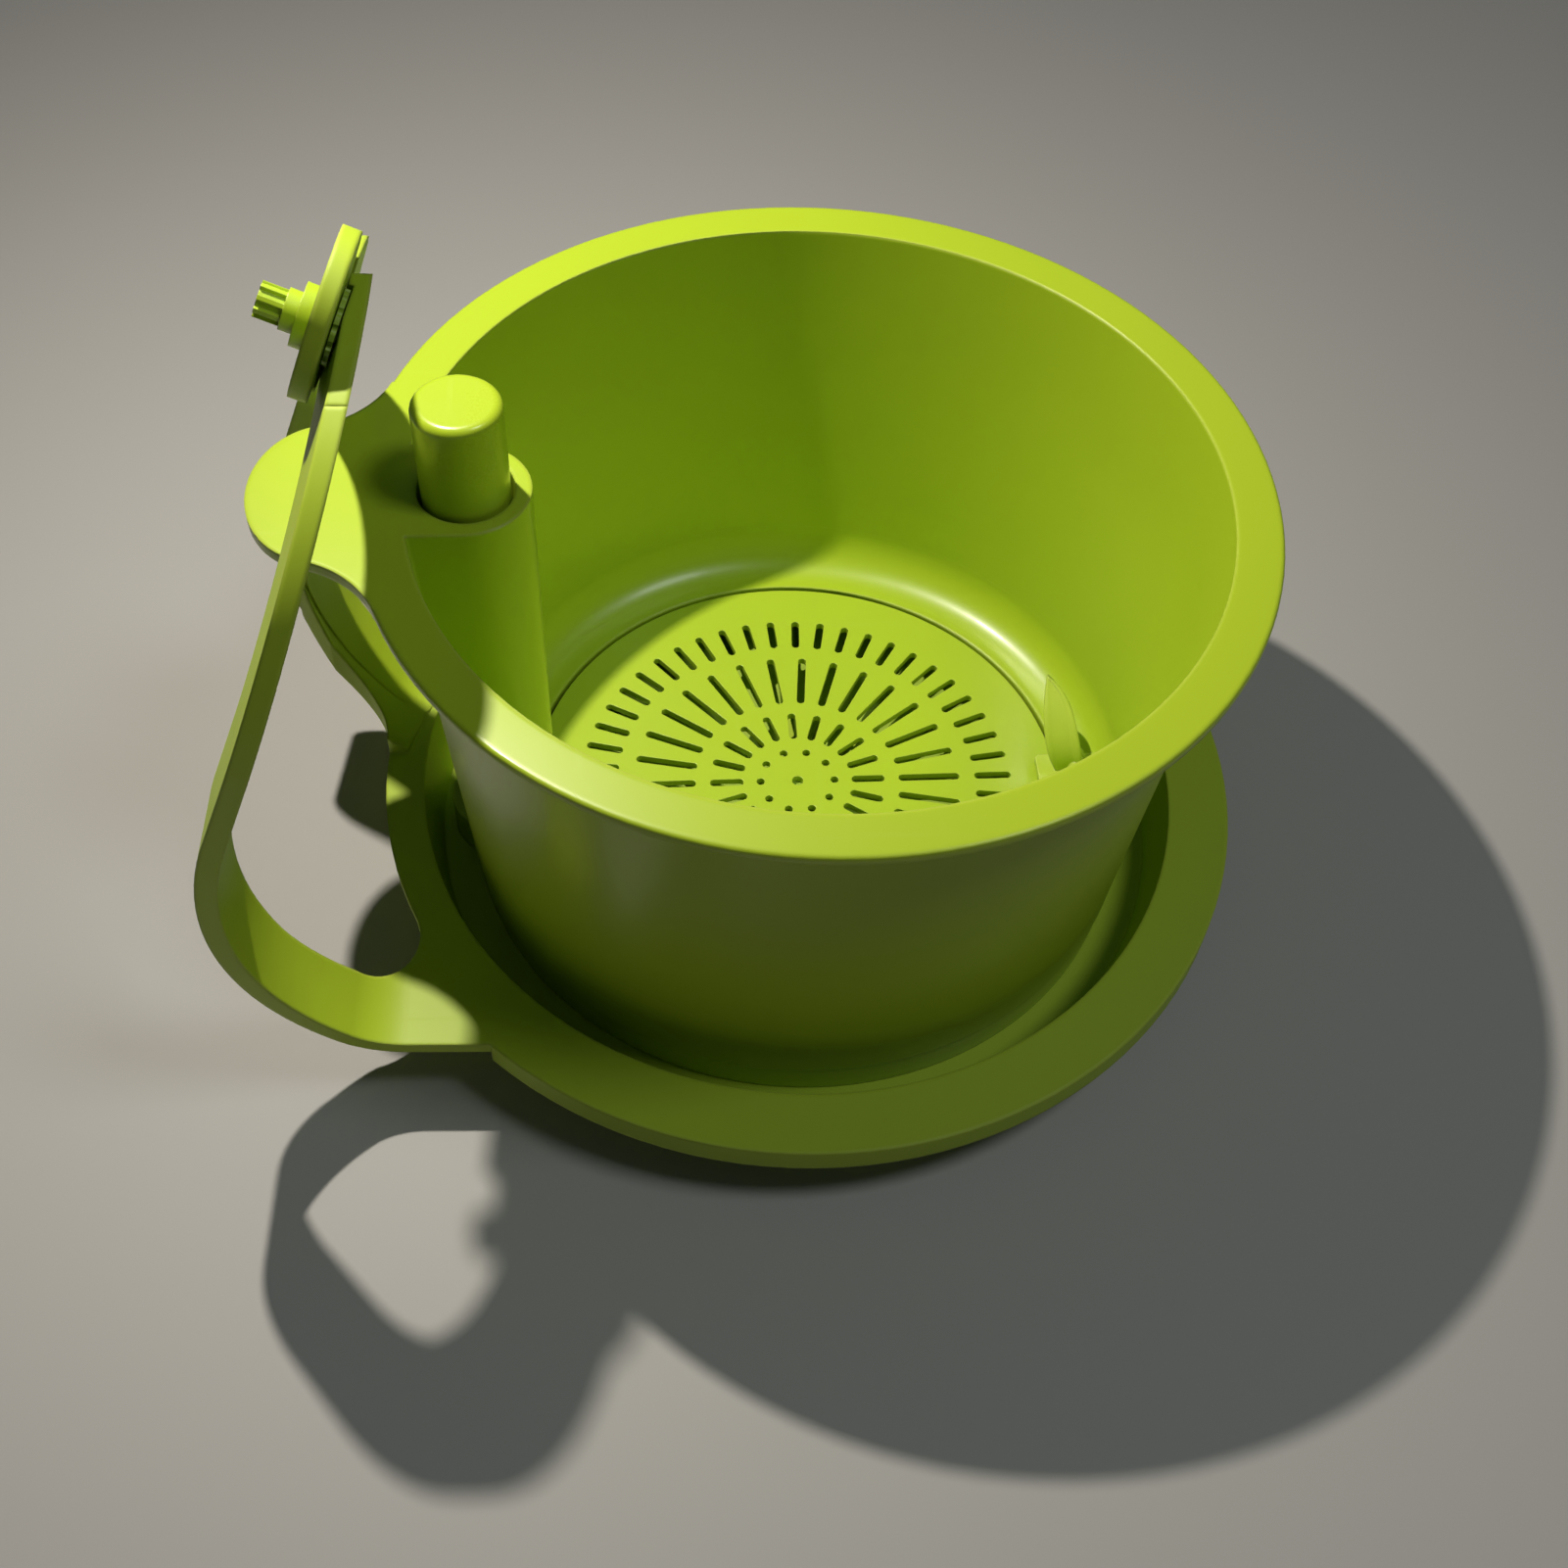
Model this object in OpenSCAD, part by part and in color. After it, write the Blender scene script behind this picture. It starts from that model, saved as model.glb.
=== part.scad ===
// Plunger salad spinner. A tapered bowl has a slotted strainer disc turning in its floor.
// A thumb plunger in a column at the wall drives the disc through a spiral rod, a one-way
// clutch and a gear train under the floor. The bowl stands in a catch tray, whose flange
// carries two strap arms. They lean over the plunger and meet at a splined hub spindle.
// Frame: origin on the table under the middle of the bowl, +Z up, plunger column on -X.

/* [Bowl] */
// Height of the rim above the table
rim_z = 150; // [140:1:165]
// Outer radius of the flat rim
rim_r = 125; // [123:0.5:130]
// Width of the flat rim
rim_w = 13; // [11:0.5:14]
// Thickness of the rim's lip
rim_t = 3.5; // [3:0.1:4.5]
// Thickness of the wall and of the floor ring
wall = 3; // [2.4:0.1:3.4]
// Outer radius of the wall at its foot
foot_r = 104; // [102.5:0.5:105]
// Height of the floor ring's top above the table
floor_z = 20; // [19.5:0.5:23]
// Radius of the fillet between the wall and the floor ring
floor_fillet = 14; // [8:1:15]
// Reach of the thumb ear from the middle of the bowl
ear_reach = 153; // [148:1:158]
// Half width of the thumb ear at its nose
ear_half_w = 26; // [22:1:28]
// Depth of the ribs under the ear
ear_rib_h = 22; // [12:1:26]

/* [Strainer disc] */
// Radius of the strainer disc
disc_r = 85; // [82:0.5:86]
// Gap between the disc and the floor ring
disc_gap = 1.4; // [0.8:0.1:2]
// Thickness of the disc
disc_t = 2.4; // [2:0.1:2.6]
// Width of a slot
slot_w = 2.6; // [1.8:0.1:3]
// Radius of the centre hole
centre_hole_r = 1.8; // [1.2:0.1:2.2]
// Radius of the ring of small holes
dot_ring_r = 12; // [10:0.5:13]
// Radius of a small hole
dot_r = 1.3; // [0.8:0.1:1.6]
// Count of small holes
dot_count = 10; // [6:1:12]
// Count of slots in the inner ring
slots_inner = 20; // [12:1:24]
// Count of slots in the middle ring
slots_middle = 30; // [20:1:36]
// Count of slots in the outer ring
slots_outer = 50; // [30:1:60]

/* [Plunger] */
// Radius of the knob
knob_r = 12; // [11:0.1:12.5]
// Gap between the knob and the column's bore
knob_gap = 1.2; // [0.8:0.1:1.6]
// Wall of the column
column_wall = 4.4; // [3.4:0.1:5]
// Height of the knob above the rim
knob_h = 30; // [24:1:36]
// Travel of the plunger
travel = 28; // [20:1:30]
// Rise of the spiral rod in one turn
lead = 30; // [24:1:40]
// Diameter of the spring's wire
wire_d = 1.2; // [0.8:0.1:1.6]
// Turns of the return spring
spring_turns = 8; // [5:1:10]

/* [Gears] */
// Module of the gear teeth
gear_module = 1.5; // [1.46:0.01:1.54]
// Teeth of the drive gear under the column
drive_teeth = 15; // [14:1:15]
// Teeth of the idler gear
idler_teeth = 48; // [46:1:49]
// Teeth of the gear under the disc
centre_teeth = 16; // [16:1:17]
// Face width of the gears
gear_t = 5; // [4:0.1:5.4]
// Radius of the rod's journal and of the gear pins
pin_r = 3; // [2.5:0.1:3.4]
// Radial clearance of a running fit
run_gap = 0.05; // [0.02:0.01:0.1]
// Clearance between loose pieces
gap = 0.3; // [0.3:0.05:0.5]

/* [Catch tray] */
// Width of the gap between the bowl's foot and the flange
tray_gap = 14.7; // [14:0.1:16]
// Width of the flange
flange_w = 18.8; // [16:0.1:22]
// Width of the flange between the legs of the arms
narrow_w = 11.8; // [10:0.1:13]
// Height of the flange's top above the table
flange_z = 28; // [24:1:34]
// Thickness of the flange's turned-down edge
flange_edge = 8.5; // [6:0.5:11]
// Thickness of the tray's sheet
tray_t = 2.5; // [2:0.1:3]
// Flare of the tray's wall from its floor to the flange
tray_flare = 4.2; // [3.2:0.1:4.7]
// Thickness of the rubber pad under the tray
foot_h = 2.5; // [2:0.1:4]
// Turn of the tray against the bowl
tray_turn = -2.3; // [-5:0.1:0]

/* [Strap arms] */
// Thickness of the strap at its root
strap_t = 5.6; // [5:0.1:6.5]
// Thickness of the strap at its top
strap_top_t = 4.6; // [4:0.1:5]
// Width of the strap
strap_w = 22.7; // [20:0.1:25]
// Half width of the loop over both legs
loop_half_w = 78.5; // [76:0.5:84]
// Sideways offset of the loop
loop_offset = 30.6; // [28:0.1:34]
// Height of the loop's crown above the table
loop_top = 232; // [225:1:240]
// Width of the strap at the crown
crown_w = 25.5; // [24:0.5:30]
// Lean of the arms towards the bowl
lean = 20.9; // [17:0.1:23]
// Radius of the lower bend
bend_r1 = 22.5; // [18:0.5:28]
// Angle of the lower bend
bend_a1 = 48.7; // [44:0.1:52]
// Radius of the upper bend
bend_r2 = 95.7; // [90:0.1:102]
// Length of the front arm past the hub
arm_end = 10; // [9:0.5:14]
// Angle from the crown to the joint of the front arm's tip
tip_angle = 22; // [18:1:30]
// Angle by which the rear arm swings out over the front arm
splay = 6.3; // [5.8:0.1:7]

/* [Hub] */
// Radius of the eye at the end of the rear arm
eye_r = 20; // [17:0.5:21]
// Thickness of the eye
eye_t = 4.4; // [3.8:0.1:4.8]
// Height of the hub above the table
hub_z = 227; // [222:1:230]
// Radius of the hub's spindle
spindle_r = 3; // [2.5:0.1:3.5]
// Radius of the spindle's collar
collar_flange_r = 7.5; // [6:0.1:9]
// Radius of the splined tip
spline_r = 4.2; // [3.8:0.1:4.6]
// Length of the splined tip
spline_len = 6; // [5:0.5:9]
// Splines on the tip
splines = 8; // [6:1:10]
// Teeth of the pinion between the arms
pinion_teeth = 14; // [10:1:18]

/* [Latch] */
// Height of the latch's fin above the floor ring
fin_h = 43; // [34:1:48]
// Thickness of the fin
fin_t = 4; // [3:0.1:5]
// Radius of the latch pin
latch_pin_r = 1.5; // [1.2:0.1:1.8]

/* [Hidden] */
$fn = 96;
e = 0.01;
lime = [0.62, 0.78, 0.10];
lime_dark = [0.50, 0.68, 0.10];
steel = [0.72, 0.73, 0.75];
brass = [0.78, 0.66, 0.36];

// Bowl section
rim_in_r = rim_r - rim_w;
rim_round = 1.1;
wall_top_r = rim_in_r + wall;
tray_floor_z = foot_h + tray_t;
bowl_foot_z = tray_floor_z + gap;
wall_slope = (wall_top_r - foot_r) / (rim_z - bowl_foot_z);
function wall_r(z) = foot_r + wall_slope * (z - bowl_foot_z);
function inner_r(z) = wall_r(z) - wall;
floor_open_r = disc_r + disc_gap;

// Strainer disc: rings of slots keep their place when the disc changes, half side of the square
function ring_r(r) = r * disc_r / 85;
centre_square = 3.5;

// Gear train: drive gear under the column, idler, centre gear
function pitch_r(teeth) = teeth * gear_module / 2;
idler_x = -(pitch_r(centre_teeth) + pitch_r(idler_teeth));
column_x = idler_x - pitch_r(idler_teeth) - pitch_r(drive_teeth);
chassis_t = 2.5;
chassis_z = bowl_foot_z + 1.7;
gear_z = chassis_z + chassis_t + 0.6;
backlash = 0.12;

// Column and plunger
bore_r = knob_r + knob_gap;
column_r = bore_r + column_wall;
seat_z = floor_z + 4.5;
knob_top = rim_z + knob_h;
knob_in = 38;
knob_foot = rim_z - knob_in;
knob_low = knob_foot - travel;
knob_wall = 2.5;
collar_h = 6;
collar_r = bore_r - gap;
key_w = 3;
key_r = bore_r + 1.2;
nut_h = 7;
rod_r = 4.2;
rod_square = 6.6;
rod_foot = seat_z + 2.5;
rod_top = rim_z - 4;
pawl_r = 7.1;
spring_r = 7.6;
spring_bore_r = spring_r + wire_d / 2 + 1;

// Catch tray
flange_in_r = foot_r + tray_gap;
flange_r = flange_in_r + flange_w;
tray_floor_r = flange_in_r - tray_flare;

// Strap loop, in its own frame with +X pointing outwards along the loop's axis
strap_z = flange_z - strap_t / 2;
bend_start = flange_in_r - 3.7;
bend2_x = bend_start + (bend_r1 - bend_r2) * sin(bend_a1);
bend2_z = strap_z + bend_r1 + (bend_r2 - bend_r1) * cos(bend_a1);
bend_end = 90 + lean;
straight_x = bend2_x + bend_r2 * sin(bend_end);
straight_z = bend2_z - bend_r2 * cos(bend_end);
sheet_len = (loop_top - straight_z) / cos(lean) + 3;
leg_z = 110;
leg_shift = 6.7;
leg_taper = 4.5;
root_out = loop_half_w - leg_shift;
root_in = root_out - strap_w + leg_taper;
root_fillet = 16;
root_swell = 2;
splay_x = 135;
splay_y = loop_offset - 52;

// Hub, with heights along its axis measured from the middle of the eye
hub_x = straight_x - (hub_z - straight_z) * tan(lean);
hub_bush_r = 5;
eye_rise = 2.5;
hub_gap = 0.3;
pinion_t = 1.2;
pinion_r = 9;
pinion_z = -eye_t / 2 - hub_gap - pinion_t;

// Latch, on the side opposite the column
latch_x = disc_r + 6;
latch_z = floor_z + 3.6;
fin_half_w = 6.5;
pad_l = 8;
pad_t = 2.2;
ear_t = 3;

// Bosses for the chassis screws
boss_r = 3.6;
boss_ring_r = 95;
boss_angles = [30, 75, 120, 240, 285, 330];
screw_r = 1.25;
screw_len = 8.5;
head_r = 2.9;
head_h = 1.4;

// Tube standing on its foot
module tube(r_out, r_in, h) {
    difference() {
        cylinder(r = r_out, h = h);
        translate([0, 0, -e]) cylinder(r = r_in, h = h + 2 * e);
    }
}

// Slot with round ends between two radii, along +X
module slot(r0, r1, w) {
    translate([r0 + w / 2, 0]) circle(w / 2, $fn = 24);
    translate([r1 - w / 2, 0]) circle(w / 2, $fn = 24);
    translate([r0 + w / 2, -w / 2]) square([r1 - r0 - w, w]);
}

// Ring of slots, with one of them at angle turn
module slot_ring(count, r0, r1, w, turn = 0) {
    for (i = [0 : count - 1]) rotate(turn + i * 360 / count) slot(r0, r1, w);
}

// Involute gear outline with a tooth on +X
function involute_angle(r, rb) = let (c = acos(min(1, rb / r))) tan(c) * 180 / PI - c;
function flank_angle(r, teeth) = let (rp = pitch_r(teeth), rb = rp * cos(20))
    90 / teeth - backlash / rp * 90 / PI + involute_angle(rp, rb) - involute_angle(max(r, rb), rb);
module gear_2d(teeth) {
    rp = pitch_r(teeth);
    root = rp - 1.25 * gear_module;
    tip = rp + 0.95 * gear_module;
    radii = [root, rp - 0.55 * gear_module, rp, rp + 0.5 * gear_module, tip];
    polygon([for (i = [0 : teeth - 1]) let (a = i * 360 / teeth) each concat(
        [for (r = radii) let (b = a - flank_angle(r, teeth)) [r * cos(b), r * sin(b)]],
        [for (k = [len(radii) - 1 : -1 : 0]) let (r = radii[k], b = a + flank_angle(r, teeth))
            [r * cos(b), r * sin(b)]])]);
}

// Bowl ---------------------------------------------------------------------------------

// Wall, rim and floor ring in half section
module bowl_section() {
    difference() {
        union() {
            polygon([[foot_r, bowl_foot_z], [wall_r(rim_z - e), rim_z - e],
                     [inner_r(rim_z), rim_z - e], [inner_r(bowl_foot_z), bowl_foot_z]]);
            polygon([[floor_open_r, floor_z - wall], [wall_r(floor_z) - e, floor_z - wall],
                     [wall_r(floor_z + floor_fillet) - e, floor_z + floor_fillet],
                     [inner_r(floor_z + floor_fillet) - floor_fillet, floor_z + floor_fillet],
                     [floor_open_r, floor_z]]);
        }
        translate([inner_r(floor_z + floor_fillet) - floor_fillet / cos(atan(wall_slope)),
                   floor_z + floor_fillet]) circle(floor_fillet);
        translate([0, floor_z]) square([floor_open_r + e, floor_fillet + e]);
    }
    rim_section();
}

module rim_section() {
    translate([rim_in_r, rim_z - rim_t + rim_round])
        square([rim_w, rim_t - 2 * rim_round]);
    translate([rim_in_r + rim_round, rim_z - rim_t])
        square([rim_w - 2 * rim_round, rim_t]);
    for (r = [rim_in_r + rim_round, rim_r - rim_round])
        for (z = [rim_z - rim_t + rim_round, rim_z - rim_round])
            translate([r, z]) circle(rim_round, $fn = 24);
}

// Outline of the thumb ear, pointing along +X: an elliptic nose, then a fillet to the rim
module ear_2d() {
    nose_l = 20;
    a0 = 78;
    px = ear_reach - nose_l * (1 - cos(a0));
    py = ear_half_w * sin(a0);
    n = [ear_half_w * cos(a0), nose_l * sin(a0)] / norm([ear_half_w * cos(a0), nose_l * sin(a0)]);
    r = (px * px + py * py - rim_r * rim_r) / (2 * (rim_r - n * [px, py]));
    c = [px, py] + r * n;
    a1 = atan2(-n[1], -n[0]);
    a2 = atan2(-c[1], -c[0]);
    half = concat([for (i = [0 : 13]) [ear_reach - nose_l * (1 - cos(i * 6)), ear_half_w * sin(i * 6)]],
        [for (i = [1 : 12]) let (a = a1 + (a2 - a1) * i / 12) c + r * [cos(a), sin(a)]],
        [c * (rim_r - 3) / norm(c)]);
    polygon(concat(half, [for (i = [len(half) - 1 : -1 : 1]) [half[i][0], -half[i][1]]]));
}

// Ribs under the ear
module ear_ribs() {
    rib_t = 2.4;
    for (s = [-1, 1]) translate([0, s * ear_half_w * 0.45, 0]) rotate([90, 0, 0])
        linear_extrude(rib_t, center = true)
            polygon([[wall_top_r - 2.5, rim_z - rim_t / 2], [ear_reach - 8, rim_z - rim_t / 2],
                     [ear_reach - 8, rim_z - rim_t - 1.5], [wall_top_r - 2.5, rim_z - ear_rib_h]]);
}

module column_2d(r) {
    translate([column_x, 0]) circle(r);
}

// Column body: a tube shaved flush with the wall outside, with cheeks that run out to the wall,
// and a pocket under the floor for the drive gear
module column_body() {
    pocket_r = bore_r + 0.6;
    difference() {
        union() {
            difference() {
                translate([0, 0, floor_z - 1]) linear_extrude(rim_z - floor_z + 1) intersection() {
                    column_2d(column_r);
                    circle(bore_r + 1.5 - column_x, $fn = 180);
                }
                translate([0, 0, floor_z - 2])
                    tube(rim_r, spring_bore_r + 1.5 - column_x, knob_low - floor_z + 4.5);
            }
            intersection() {
                translate([-rim_in_r - wall / 2, -column_r, floor_z])
                    cube([rim_in_r + wall / 2 + column_x, 2 * column_r, rim_z - floor_z]);
                cylinder(r1 = inner_r(0) + wall / 2, r2 = inner_r(rim_z) + wall / 2, h = rim_z);
            }
            translate([0, 0, bowl_foot_z]) linear_extrude(floor_z - 1 - bowl_foot_z)
                column_2d(pocket_r + 1.7);
        }
        // clear of the chassis, the gears and the disc
        translate([0, 0, bowl_foot_z - 1])
            cylinder(r = inner_r(bowl_foot_z) - 0.1, h = floor_z - wall - bowl_foot_z + 1);
        translate([0, 0, floor_z - disc_t - 1.3]) cylinder(r = floor_open_r + 0.4, h = disc_t + 2.6);
    }
}

module key_way(w, h) {
    translate([column_x - w / 2 - gap, -key_r - gap, 0]) cube([w + 2 * gap, 2 * (key_r + gap), h]);
}

module at_bosses(z) {
    for (a = boss_angles) rotate(a) translate([boss_ring_r, 0, z]) children();
}

module bowl() {
    boss_z = chassis_z + chassis_t;
    color(lime) difference() {
        union() {
            rotate_extrude($fn = 180) bowl_section();
            rotate(180) translate([0, 0, rim_z - rim_t]) linear_extrude(rim_t) difference() {
                ear_2d();
                circle(rim_in_r + 1);
            }
            rotate(180) ear_ribs();
            column_body();
            at_bosses(boss_z) cylinder(r = boss_r, h = floor_z - wall / 2 - boss_z);
            latch_mount();
        }
        // plunger bore with its keyways, over the narrower bore of the spring
        translate([0, 0, knob_low - 0.5]) linear_extrude(rim_z) column_2d(bore_r);
        translate([0, 0, knob_low - 0.5]) key_way(key_w, travel + collar_h + gap + 0.5);
        translate([0, 0, seat_z]) linear_extrude(rim_z) column_2d(spring_bore_r);
        translate([0, 0, bowl_foot_z - 1]) linear_extrude(floor_z - wall - bowl_foot_z + 1)
            column_2d(bore_r + 0.6);
        // bush hole
        translate([column_x, 0, floor_z - wall - e]) cylinder(r = 5, h = seat_z - floor_z + wall + 1);
        at_bosses(chassis_z) cylinder(r = screw_r, h = screw_len + 0.5, $fn = 24);
        latch_slot();
    }
}

// Two ears on the floor ring carry the latch pin
module latch_mount() {
    for (s = [-1, 1]) translate([latch_x, s * (fin_t / 2 + gap + ear_t / 2), 0]) {
        rotate([90, 0, 0]) translate([0, latch_z, -ear_t / 2]) cylinder(r = 3.4, h = ear_t);
        translate([-3.4, -ear_t / 2, floor_z - 1]) cube([12, ear_t, latch_z - floor_z + 1]);
    }
}
module latch_slot() {
    rotate([90, 0, 0]) translate([latch_x, latch_z, -10])
        cylinder(r = latch_pin_r, h = 20, $fn = 48);
}

// Strainer disc ------------------------------------------------------------------------

module strainer_disc() {
    hub_r = 8.5;
    hub_z = gear_z + gear_t + 0.2;
    color(lime) {
        translate([0, 0, floor_z - disc_t]) linear_extrude(disc_t) difference() {
            circle(disc_r, $fn = 180);
            circle(centre_hole_r);
            for (i = [0 : dot_count - 1]) rotate(i * 360 / dot_count)
                translate([dot_ring_r, 0]) circle(dot_r, $fn = 24);
            slot_ring(slots_inner, ring_r(17.6), ring_r(28.4), slot_w);
            slot_ring(slots_middle, ring_r(33), ring_r(53), slot_w);
            slot_ring(slots_outer, ring_r(58), ring_r(70), slot_w);
            // notch in the edge beside the latch
            rotate(-5) polygon([[disc_r - 5, 0], [disc_r + 1, -3], [disc_r + 1, 3]]);
        }
        // socket for the square of the centre gear
        translate([0, 0, hub_z]) linear_extrude(floor_z - disc_t - hub_z + e) difference() {
            circle(hub_r);
            square(2 * (centre_square + 0.15), center = true);
        }
        // stiffening ring inside the plain rim
        translate([0, 0, floor_z - disc_t - 1]) tube(disc_r - 7, disc_r - 9, 1 + e);
    }
}

module centre_gear() {
    color(lime_dark) translate([0, 0, gear_z]) difference() {
        union() {
            linear_extrude(gear_t) gear_2d(centre_teeth);
            translate([-centre_square, -centre_square, 0])
                cube([2 * centre_square, 2 * centre_square, floor_z - disc_t - gear_z - 0.2]);
        }
        translate([0, 0, -e]) cylinder(r = pin_r + 1.2, h = gear_t - 1);
    }
}

module centre_bush() {
    color(brass) translate([0, 0, gear_z]) tube(pin_r + 1.2, pin_r + run_gap, gear_t - 1.2);
}

module centre_spindle() {
    color(steel) translate([0, 0, chassis_z]) cylinder(r = pin_r, h = chassis_t + 0.6 + gear_t - 1.5);
}

module idler_gear() {
    color(lime_dark) translate([idler_x, 0, gear_z]) difference() {
        linear_extrude(gear_t) difference() {
            rotate(180 / idler_teeth) gear_2d(idler_teeth);
            circle(pin_r + run_gap);
        }
        translate([0, 0, 1.6]) tube(pitch_r(idler_teeth) - 5, 8, gear_t);
        for (i = [0 : 5]) rotate(i * 60 + 30) translate([19, 0, -1]) cylinder(r = 6, h = 4);
    }
}

module idler_pin() {
    color(steel) translate([idler_x, 0, chassis_z])
        cylinder(r = pin_r, h = chassis_t + 0.6 + gear_t - 0.2);
}

// Clutch and plunger -------------------------------------------------------------------

module at_column(z = 0) {
    translate([column_x, 0, z]) children();
}

module drive_gear() {
    cup_r = 7.4;
    saw_r = 8.2;
    saws = 12;
    web = 1.2;
    color(lime_dark) at_column(gear_z) difference() {
        linear_extrude(gear_t) gear_2d(drive_teeth);
        translate([0, 0, -e]) cylinder(r = pin_r + run_gap, h = web + 2 * e);
        translate([0, 0, web]) linear_extrude(gear_t)
            polygon([for (i = [0 : saws - 1]) let (a = i * 360 / saws) each
                [[cup_r * cos(a), cup_r * sin(a)], [saw_r * cos(a + 1), saw_r * sin(a + 1)]]]);
    }
}

module clutch_rotor() {
    web = 1.2 + 0.3;
    h = gear_t - web - 0.2;
    color(lime) at_column(gear_z + web) linear_extrude(h) {
        difference() {
            circle(4.6);
            circle(pin_r);
        }
        for (i = [0 : 2]) rotate(i * 120) intersection() {
            difference() {
                translate([0.9, 0]) circle(6.1);
                translate([0.8, -0.5]) circle(5);
            }
            translate([-1, 0]) square([9, 9]);
        }
    }
}

module spiral_rod() {
    color(steel) at_column() {
        translate([0, 0, chassis_z + 0.8]) cylinder(r = pin_r, h = rod_foot - chassis_z - 0.8 + e);
        translate([0, 0, rod_foot]) spiral(rod_top - rod_foot, 0, 0);
    }
}

// Length len of the spiral, grown by c, starting z above the foot of the rod
module spiral(len, z, c) {
    rotate(360 * z / lead)
        linear_extrude(len, twist = -360 * len / lead, slices = ceil(len / 1.7), $fn = 8) rod_2d(c);
}

// Square bar with clipped corners, larger all round by c
module rod_2d(c) {
    h = rod_square / 2 + c;
    k = 1.3 + c * 0.41;
    polygon([[h, h - k], [h - k, h], [k - h, h], [-h, h - k],
             [-h, k - h], [k - h, -h], [h - k, -h], [h, k - h]]);
}

module rod_bush() {
    color(brass) at_column() {
        translate([0, 0, floor_z - wall]) tube(5, pin_r + run_gap, seat_z - floor_z + wall + e);
        translate([0, 0, seat_z]) tube(7, pin_r + run_gap, 1);
    }
}

module spring_seat() {
    color(steel) at_column(seat_z + 1) tube(spring_bore_r - 0.2, rod_r + 0.8, 1.2);
}

module return_spring() {
    z0 = seat_z + 2.2 + wire_d / 2;
    z1 = knob_foot - wire_d / 2;
    rings = spring_turns * 14;
    sides = 6;
    points = [for (i = [0 : rings]) let (a = i * 360 * spring_turns / rings, z = z0 + (z1 - z0) * i / rings)
        for (k = [0 : sides - 1]) let (b = k * 360 / sides, r = spring_r + wire_d / 2 * cos(b))
            [r * cos(a), r * sin(a), z + wire_d / 2 * sin(b)]];
    faces = concat([[for (k = [0 : sides - 1]) k]],
        [for (i = [0 : rings - 1], k = [0 : sides - 1]) let (n = (k + 1) % sides)
            [i * sides + k, (i + 1) * sides + k, (i + 1) * sides + n, i * sides + n]],
        [[for (k = [sides - 1 : -1 : 0]) rings * sides + k]]);
    color(steel) at_column() polyhedron(points, faces);
}

module spiral_nut() {
    color(brass) at_column(knob_foot) difference() {
        cylinder(r = knob_r - knob_wall, h = nut_h);
        translate([0, 0, -1]) spiral(nut_h + 2, knob_foot - 1 - rod_foot, 0.35);
    }
}

module plunger_knob() {
    edge = 2.5;
    top = knob_top - knob_foot;
    color(lime) at_column(knob_foot) {
        rotate_extrude() difference() {
            union() {
                square([knob_r, top - edge]);
                square([knob_r - edge, top]);
                translate([knob_r - edge, top - edge]) circle(edge);
                square([collar_r, collar_h]);
            }
            translate([-knob_r, -e]) square([2 * knob_r - knob_wall, top - 4]);
            translate([-2 * knob_r, -e]) square([2 * knob_r, top + 1]);
        }
        for (s = [90, 270]) rotate(s) translate([knob_r - 1, -key_w / 2, 0])
            cube([key_r - knob_r + 1, key_w, collar_h]);
    }
}

// Chassis ------------------------------------------------------------------------------

module gear_chassis() {
    color(lime_dark) translate([0, 0, chassis_z]) difference() {
        union() {
            cylinder(r = inner_r(bowl_foot_z) - 0.4, h = chassis_t);
            at_column() cylinder(r = bore_r + 0.2, h = chassis_t);
            translate([idler_x, 0, 0]) cylinder(r = 6.5, h = chassis_t + 0.4);
            cylinder(r = 6.5, h = chassis_t + 0.4);
        }
        translate([0, 0, -e]) cylinder(r = pin_r, h = chassis_t + 1);
        translate([idler_x, 0, -e]) cylinder(r = pin_r, h = chassis_t + 1);
        at_column(0.8) cylinder(r = pin_r + run_gap, h = chassis_t);
        at_bosses(-e) cylinder(r = screw_r + 0.4, h = chassis_t + 1, $fn = 24);
        at_bosses(-e) cylinder(r = head_r + gap, h = head_h + 0.1 + e);
        translate([0, 0, -e]) linear_extrude(chassis_t + 1) {
            slot_ring(36, 66, 84, 3, 5);
            difference() {
                slot_ring(18, 24, 58, 4, 10);
                translate([idler_x, 0]) circle(10);
            }
        }
    }
}

module chassis_screws() {
    color(steel) at_bosses(chassis_z + 0.1) {
        cylinder(r = head_r, h = head_h);
        cylinder(r = screw_r, h = screw_len, $fn = 24);
    }
}

// Latch --------------------------------------------------------------------------------

// Side view of the latch: a pointed fin on the pivot, with a pad over the disc's edge
module latch_2d() {
    foot = floor_z + gap;
    half = fin_half_w;
    arc_r = (fin_h * fin_h + half * half) / (2 * half);
    difference() {
        intersection() {
            translate([latch_x - 2.5 + arc_r - half, foot]) circle(arc_r, $fn = 180);
            translate([latch_x - 2.5 - arc_r + half, foot]) circle(arc_r, $fn = 180);
            translate([latch_x - 2.5 - half, foot]) square([2 * half, fin_h]);
        }
        translate([latch_x, foot - 1]) square([8, latch_z + 2 - foot]);
    }
    translate([latch_x, latch_z]) circle(3);
    translate([latch_x - 4 - pad_l, foot]) square([pad_l, pad_t]);
}

module disc_latch() {
    color(lime) rotate([90, 0, 0]) linear_extrude(fin_t, center = true) difference() {
        latch_2d();
        translate([latch_x, latch_z]) circle(latch_pin_r + run_gap, $fn = 48);
    }
}

module latch_pin() {
    len = fin_t + 2 * gap + 2 * ear_t;
    color(steel) rotate([90, 0, 0]) translate([latch_x, latch_z, -len / 2])
        cylinder(r = latch_pin_r, h = len, $fn = 48);
}

// Catch tray with the strap loop -------------------------------------------------------

module loop_frame() {
    rotate(180 + tray_turn) children();
}

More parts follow.
